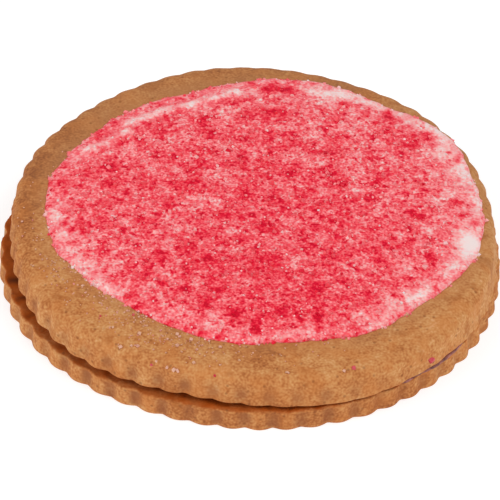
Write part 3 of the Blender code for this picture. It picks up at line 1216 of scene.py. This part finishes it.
def jelly_share(turn, inset, x, y):
    """How much jelly the icing holds, and how bare it is: where it is bare it is smooth too.

    There is less jelly at the edge, on the ridge and in the bare patches, and more in clumps
    with ragged edges.
    """
    flat = np.stack((x, y, np.zeros_like(x)), -1)
    amount = 0.42 + 0.07 * smooth_step(0.0, 8.0 * MM, inset)
    amount = amount + 0.07 * rough_noise(flat, 7.0 * MM, 81, layers=2)
    bare = 0.29 * ridge_share(x, y)
    for middle, patch_inset, width, spread, share in BARE_PATCHES:
        patch = bell(inset, patch_inset * MM, width * MM)
        bare = bare + share * patch * side(turn, middle, spread)
    ragged = rough_noise(flat, 1.2 * MM, 85, layers=2)
    for clump_x, clump_y, width, share in JELLY_CLUMPS:
        gap = np.hypot(x - ICING_CENTRE[0] - clump_x * MM, y - ICING_CENTRE[1] - clump_y * MM)
        amount = amount + share * bell(gap * (1.0 + 0.45 * ragged), 0.0, width * MM)
    # Clumps too many to list: they lie where a slow noise is near its top.
    scattered = smooth_step(0.40, 0.85, rough_noise(flat, 1.9 * MM, 83, layers=2))
    return amount + 0.20 * scattered - bare, bare


def icing_lift(thickness):
    """How far the icing stands off the dough: the gap closes where it thins at its edge."""
    return CLEARANCE * smooth_step(0.0, 0.5 * MM, thickness)


def add_icing(settings, dough, material):
    """The icing: rings over its top, a rounded crumbly edge, and the side that it lies on."""
    turn = np.linspace(0.0, tau, ICING_COLUMNS, endpoint=False)[None, :]
    rim = icing_rim(turn)
    across = np.linspace(1.0, 0.0, int(ICING_RADIUS / ICING_RING_STEP))[:, None]
    inset = ICING_EDGE_WIDTH + across * (rim - ICING_EDGE_WIDTH)
    x, y, thickness = icing_surface(turn, inset, settings, rim)

    drop = np.linspace(0.0, pi / 2, 10)[1:, None]
    edge_inset = ICING_EDGE_WIDTH * (1.0 - np.sin(drop)) + np.zeros_like(turn)
    edge_x, edge_y, edge_thickness = icing_surface(turn, edge_inset, settings, rim)
    edge_thickness = edge_thickness * (FOOT_SHARE + (1.0 - FOOT_SHARE) * np.cos(drop))

    # The underside's rings, by how far in from the edge they lie, and its middle.
    foot_inset = np.array((0.25 * MM, 0.5 * MM, 12.0 * MM))[:, None] + np.zeros_like(turn)
    foot_inset = np.vstack((foot_inset, rim))
    foot_x, foot_y = around_icing(turn, rim - foot_inset)
    foot_thickness = np.full_like(foot_x, -ICING_SINK)

    x = np.vstack((x, edge_x, foot_x))
    y = np.vstack((y, edge_y, foot_y))
    thickness = np.vstack((thickness, edge_thickness, foot_thickness))
    rest = face_height(x, y, UPPER_HALF, dough)
    rings = np.stack((x, y, rest + icing_lift(thickness) + thickness), -1)
    mesh = closed_skin("icing", placed(rings, UPPER_PLACE))
    inset = np.vstack((inset, edge_inset, foot_inset))
    turns = turn + np.zeros_like(x)
    jelly, bare = jelly_share(turns, inset, x, y)
    smooth = 1.0 - 0.75 * np.clip(bare / 0.5, 0.0, 1.0)
    store_values(mesh, "jelly", skin_values(jelly))
    store_values(mesh, "grain", skin_values((0.7 + 0.3 * grain_share(turns, inset)) * smooth))
    return add_piece("raspberry_icing", mesh, material, ["icing"])


# ---------------------------------------------------------------- crystals

CUBE_CORNERS = np.array(list(np.ndindex(2, 2, 2))) - 0.5
CUBE_FACES = np.array(
    ((0, 1, 3, 2), (4, 6, 7, 5), (0, 4, 5, 1), (2, 3, 7, 6), (0, 2, 6, 4), (1, 5, 7, 3))
)


# How far a crystal's corners are knocked about, as a share of its width, and how much longer or
# shorter than its width it is.
CORNER_KNOCK = 0.16
CRYSTAL_STRETCH = (0.75, 1.2)


def random_turns(rng, count):
    """Random rotation matrices, from random unit quaternions."""
    w, x, y, z = (q := rng.normal(size=(4, count))) / np.linalg.norm(q, axis=0)
    return np.array(
        (
            (1 - 2 * (y * y + z * z), 2 * (x * y - z * w), 2 * (x * z + y * w)),
            (2 * (x * y + z * w), 1 - 2 * (x * x + z * z), 2 * (y * z - x * w)),
            (2 * (x * z - y * w), 2 * (y * z + x * w), 1 - 2 * (x * x + y * y)),
        )
    ).transpose(2, 0, 1)


def crystal_mesh(name, centres, widths, jelly, rng):
    """One mesh of many crystals: each a cube with its corners knocked about, turned at random."""
    count = len(centres)
    corners = CUBE_CORNERS + rng.uniform(-CORNER_KNOCK, CORNER_KNOCK, (count, 8, 3))
    corners = corners * (widths[:, None, None] * rng.uniform(*CRYSTAL_STRETCH, (count, 1, 3)))
    points = np.einsum("nij,nkj->nki", random_turns(rng, count), corners) + centres[:, None]
    faces = CUBE_FACES + 8 * np.arange(count)[:, None, None]
    mesh = bpy.data.meshes.new(name)
    mesh.from_pydata(points.reshape(-1, 3), [], faces.reshape(-1, 4).tolist())
    store_values(mesh, "jelly", np.repeat(jelly, 8))
    return mesh


# The share of the crystals that are crumbs along the icing's edge.
EDGE_CRUMBS = 0.03
# How widely their widths are scattered, as a power of e, and the largest, in usual widths.
WIDTH_SCATTER = 0.28
LARGEST_CRYSTAL = 2.2
# Where the icing is barer than about this, no crystals lie on it.
BARE_LIMIT = 0.25


def icing_places(rng, count, icing, dough):
    """Random places on the icing: fewer in its smooth band, and some crumbs along its edge."""
    tries = 3 * count
    turn = rng.uniform(0.0, tau, tries)
    rim = icing_rim(turn)
    over_face = rim * (1.0 - np.sqrt(rng.uniform(0.0, 1.0, tries)))
    along_edge = rng.uniform(-0.25 * MM, 0.6 * MM, tries)
    crumb = rng.uniform(0.0, 1.0, tries) < EDGE_CRUMBS
    inset = np.where(crumb, along_edge, over_face)
    wanted = crumb | (rng.uniform(0.0, 1.0, tries) < grain_share(turn, inset))
    turn, rim, inset = (values[wanted][:count] for values in (turn, rim, inset))
    x, y, thickness = icing_surface(turn, inset, icing, rim)
    round_edge = np.clip(1.0 - inset / ICING_EDGE_WIDTH, 0.0, 1.0)
    thickness = thickness * (FOOT_SHARE + (1.0 - FOOT_SHARE) * np.sqrt(1.0 - round_edge**2))
    rest = face_height(x, y, UPPER_HALF, dough)
    points = np.stack((x, y, rest + icing_lift(thickness) + thickness), -1)
    jelly, bare = jelly_share(turn, inset, x, y)
    shown = bare < BARE_LIMIT * rng.uniform(0.6, 2.0, len(bare))
    return points[shown], jelly[shown]


def add_crystals(settings, icing, dough):
    """The crystals on the icing: jelly ones by the thousand, and clear sugar ones among them."""
    rng = np.random.default_rng(5)
    for name, count, size in (
        ("jelly_crystals", settings.jelly_count, 1.0),
        ("sugar_crystals", settings.sugar_count, 0.65),
    ):
        points, jelly = icing_places(rng, count, icing, dough)
        count = len(points)
        widths = size * settings.usual * np.exp(rng.normal(0.0, WIDTH_SCATTER, count))
        widths = np.clip(widths, settings.smallest, LARGEST_CRYSTAL * settings.usual)
        points[:, 2] += widths * rng.uniform(-0.35, 0.05, count)
        jelly = np.clip(jelly + rng.normal(0.03, 0.14, count), 0.0, 1.0)
        mesh = crystal_mesh(name, placed(points, UPPER_PLACE), widths, jelly, rng)
        add_piece(name, mesh, grown_crystal(name), None)


# The larger grains that have fallen on the rim: (x, y on the upper half, width, all in mm, and
# how much jelly).
RIM_GRAINS = (
    (-18.8, -30.9, 0.55, 0.10),
    (-21.9, -34.1, 0.45, 0.15),
    (-20.0, -34.0, 0.38, 0.15),
    (-19.0, -34.0, 0.46, 0.20),
    (-12.5, -33.6, 0.42, 0.15),
    (-12.5, -30.9, 0.52, 0.17),
    (-12.1, -31.4, 0.34, 0.25),
    (-10.2, -32.0, 0.45, 0.20),
    (-5.3, -33.6, 0.42, 0.20),
    (-9.6, -37.6, 0.34, 0.10),
    (-15.8, -37.4, 0.42, 0.12),
    (-14.1, -32.2, 0.34, 0.25),
    (-9.2, -34.4, 0.34, 0.25),
    (-19.9, -26.4, 0.36, 0.75),
    (-25.4, -26.9, 0.30, 0.85),
    (5.9, -39.1, 0.42, 0.10),
    (25.6, -23.6, 0.60, 0.05),
    (-28.3, -17.9, 0.38, 0.10),
    (-28.6, -19.4, 0.34, 0.12),
)
# Those that stuck to the upper half's shoulder and wall: (x, y, z, width, all in mm in the packed
# model's frame, and how much jelly).
SHOULDER_GRAINS = (
    (30.28, -30.01, 6.00, 0.85, 0.88),
    (17.29, -36.96, 9.73, 0.50, 0.88),
    (15.80, -37.74, 9.63, 0.48, 0.15),
    (-5.60, -39.42, 9.38, 0.34, 1.00),
    (-16.10, -37.15, 9.42, 0.36, 0.80),
    (-12.35, -38.24, 9.43, 0.48, 0.15),
    (-11.77, -38.36, 9.39, 0.46, 0.20),
    (-13.52, -37.78, 9.54, 0.34, 0.20),
)
# Where the dusting lies, how far out it reaches, and the usual width of its grains.
LOOSE_TURN = radians(-130.0)
LOOSE_SPREAD = radians(24.0)
LOOSE_REACH = 3.2 * MM
LOOSE_WIDTH = 0.17 * MM


def add_loose_grains(settings, dough):
    """The grains on the rim: the larger ones as listed, and a dusting at the front left."""
    rng = np.random.default_rng(9)
    listed = np.array(RIM_GRAINS)
    turn = LOOSE_TURN + LOOSE_SPREAD * rng.normal(0.0, 1.0, settings.loose_count)
    edge = icing_rim(turn)
    away = edge + np.abs(rng.normal(0.0, LOOSE_REACH, settings.loose_count)) + 0.1 * MM
    loose_x, loose_y = around_icing(turn, away)
    x = np.hstack((listed[:, 0] * MM, loose_x))
    y = np.hstack((listed[:, 1] * MM, loose_y))
    widths = LOOSE_WIDTH * np.exp(rng.normal(0.0, 0.25, settings.loose_count))
    widths = np.hstack((listed[:, 2] * MM, np.clip(widths, 0.12 * MM, 0.34 * MM)))
    jelly = np.hstack((listed[:, 3], rng.beta(1.2, 6.0, settings.loose_count)))
    rim = rim_radius_of(UPPER_HALF, dough)
    kept = np.hypot(x, y) < rim + 0.5 * UPPER_HALF.shoulder_width
    x, y, widths, jelly = x[kept], y[kept], widths[kept], jelly[kept]
    rest = face_height(x, y, UPPER_HALF, dough)
    points = placed(np.stack((x, y, rest + 0.2 * widths), -1), UPPER_PLACE)
    stuck = np.array(SHOULDER_GRAINS)
    points = np.vstack((points, stuck[:, :3] * MM))
    widths = np.hstack((widths, stuck[:, 3] * MM))
    jelly = np.hstack((jelly, stuck[:, 4]))
    mesh = crystal_mesh("loose", points, widths, jelly, rng)
    add_piece("loose_grains", mesh, grown_crystal("loose_grains"), None)


# ---------------------------------------------------------------- stage

CAMERA_AIM = Vector((-0.30, 4.76, 0.07)) * MM
FLOOR_HALF_WIDTH = 4.0
FLOOR_GREY = 0.50
FLOOR_GLOW = 0.64
# Name, place and size in metres, and power in watts.
SOFTBOXES = (
    ("right_softbox", (0.8, -0.5, 1.25), 1.0, 9.0),
    ("left_softbox", (-1.1, -0.55, 0.8), 0.9, 6.8),
    ("back_softbox", (-0.3, 0.7, 1.2), 0.6, 0.6),
)


def add_floor():
    """A plain pale floor that glows a little, as paper lit from all round does."""
    mesh = bpy.data.meshes.new("floor")
    reach = FLOOR_HALF_WIDTH
    corners = [(-reach, -reach, 0), (reach, -reach, 0), (reach, reach, 0), (-reach, reach, 0)]
    mesh.from_pydata(corners, [], [(0, 1, 2, 3)])
    finish = {
        "Base Color": (FLOOR_GREY, FLOOR_GREY, FLOOR_GREY, 1.0),
        "Roughness": 0.9,
        "Emission Color": (1.0, 1.0, 1.0, 1.0),
        "Emission Strength": FLOOR_GLOW,
    }
    mesh.materials.append(new_material("white_paper_sweep", finish)[0])
    floor = bpy.data.objects.new("floor", mesh)
    bpy.context.scene.collection.objects.link(floor)


def add_softbox(name, place, size, power):
    """A square soft light that faces the biscuit."""
    light = bpy.data.lights.new(name, "AREA")
    light.size = size
    light.energy = power
    box = bpy.data.objects.new(name, light)
    box.location = place
    box.rotation_euler = (-Vector(place)).to_track_quat("-Z", "Y").to_euler()
    bpy.context.scene.collection.objects.link(box)


def add_camera(settings):
    """A long lens from the front, tilted down by the elevation and rolled a little."""
    camera = bpy.data.cameras.new("camera")
    camera.sensor_width = 36.0
    camera.lens = settings.lens
    camera.clip_end = 20.0
    back = Vector((0.0, -cos(settings.elevation), sin(settings.elevation)))
    right = Vector((1.0, 0.0, 0.0))
    up = back.cross(right)
    rolled_right = cos(settings.roll) * right + sin(settings.roll) * up
    rolled_up = back.cross(rolled_right)
    turn = Matrix((rolled_right, rolled_up, back)).transposed()
    view = bpy.data.objects.new("camera", camera)
    view.matrix_world = Matrix.LocRotScale(CAMERA_AIM + settings.distance * back, turn, None)
    bpy.context.scene.collection.objects.link(view)
    bpy.context.scene.camera = view


def add_sky(strength):
    """Even white light from all round."""
    world = bpy.data.worlds.new("studio")
    world.use_nodes = True
    sky = world.node_tree.nodes["Background"]
    sky.inputs["Color"].default_value = (1.0, 1.0, 1.0, 1.0)
    sky.inputs["Strength"].default_value = strength
    bpy.context.scene.world = world


# ---------------------------------------------------------------- operators


class BISCUIT_OT_halves(bpy.types.Operator):
    """Bake the lower and the upper half"""

    bl_idname = "biscuit.halves"
    bl_label = "Baked Halves"

    def execute(self, context):
        settings = context.scene.biscuit_dough
        material = baked_dough(settings)
        add_half("lower_biscuit", LOWER_HALF, Matrix(), settings, material)
        add_half("upper_biscuit", UPPER_HALF, UPPER_PLACE, settings, material)
        return {"FINISHED"}


class BISCUIT_OT_jam(bpy.types.Operator):
    """Spread the jam between the halves"""

    bl_idname = "biscuit.jam"
    bl_label = "Jam"

    def execute(self, context):
        add_jam(context.scene.biscuit_dough, raspberry_jam())
        return {"FINISHED"}


class BISCUIT_OT_icing(bpy.types.Operator):
    """Pour the icing on the upper half"""

    bl_idname = "biscuit.icing"
    bl_label = "Icing"

    def execute(self, context):
        scene = context.scene
        add_icing(scene.biscuit_icing, scene.biscuit_dough, raspberry_icing())
        return {"FINISHED"}


class BISCUIT_OT_crystals(bpy.types.Operator):
    """Sprinkle the crystals on the icing"""

    bl_idname = "biscuit.crystals"
    bl_label = "Crystals"

    def execute(self, context):
        scene = context.scene
        add_crystals(scene.biscuit_crystals, scene.biscuit_icing, scene.biscuit_dough)
        return {"FINISHED"}


class BISCUIT_OT_loose_grains(bpy.types.Operator):
    """Drop the loose grains on the rim"""

    bl_idname = "biscuit.loose_grains"
    bl_label = "Loose Grains"

    def execute(self, context):
        add_loose_grains(context.scene.biscuit_crystals, context.scene.biscuit_dough)
        return {"FINISHED"}


class BISCUIT_OT_stage(bpy.types.Operator):
    """Set up the floor, the lights and the camera"""

    bl_idname = "biscuit.stage"
    bl_label = "Stage"

    def execute(self, context):
        settings = context.scene.biscuit_stage
        add_floor()
        add_sky(settings.sky_strength)
        for name, place, size, power in SOFTBOXES:
            add_softbox(name, place, size, power)
        add_camera(settings)
        context.scene.view_settings.view_transform = "Standard"
        return {"FINISHED"}


class BISCUIT_PT_panel(bpy.types.Panel):
    """Lists the biscuit's settings and the steps that build it"""

    bl_label = "Belgian Biscuit"
    bl_idname = "BISCUIT_PT_panel"
    bl_space_type = "VIEW_3D"
    bl_region_type = "UI"
    bl_category = "Biscuit"

    def draw(self, context):
        for name in SETTINGS:
            box = self.layout.box()
            group = getattr(context.scene, name)
            for value in group.__annotations__:
                box.prop(group, value)
        for step in STEPS:
            self.layout.operator(step.bl_idname)


SETTINGS = {
    "biscuit_dough": DoughSettings,
    "biscuit_icing": IcingSettings,
    "biscuit_crystals": CrystalSettings,
    "biscuit_stage": StageSettings,
}
STEPS = (
    BISCUIT_OT_halves,
    BISCUIT_OT_jam,
    BISCUIT_OT_icing,
    BISCUIT_OT_crystals,
    BISCUIT_OT_loose_grains,
    BISCUIT_OT_stage,
)


def register():
    for item in (*SETTINGS.values(), *STEPS, BISCUIT_PT_panel):
        bpy.utils.register_class(item)
    for name, group in SETTINGS.items():
        setattr(bpy.types.Scene, name, PointerProperty(type=group))


def unregister():
    for name in SETTINGS:
        delattr(bpy.types.Scene, name)
    for item in reversed((*SETTINGS.values(), *STEPS, BISCUIT_PT_panel)):
        bpy.utils.unregister_class(item)


def main():
    register()
    bpy.ops.biscuit.halves()
    bpy.ops.biscuit.jam()
    bpy.ops.biscuit.icing()
    bpy.ops.biscuit.crystals()
    bpy.ops.biscuit.loose_grains()
    bpy.ops.biscuit.stage()


if __name__ == "__main__":
    main()
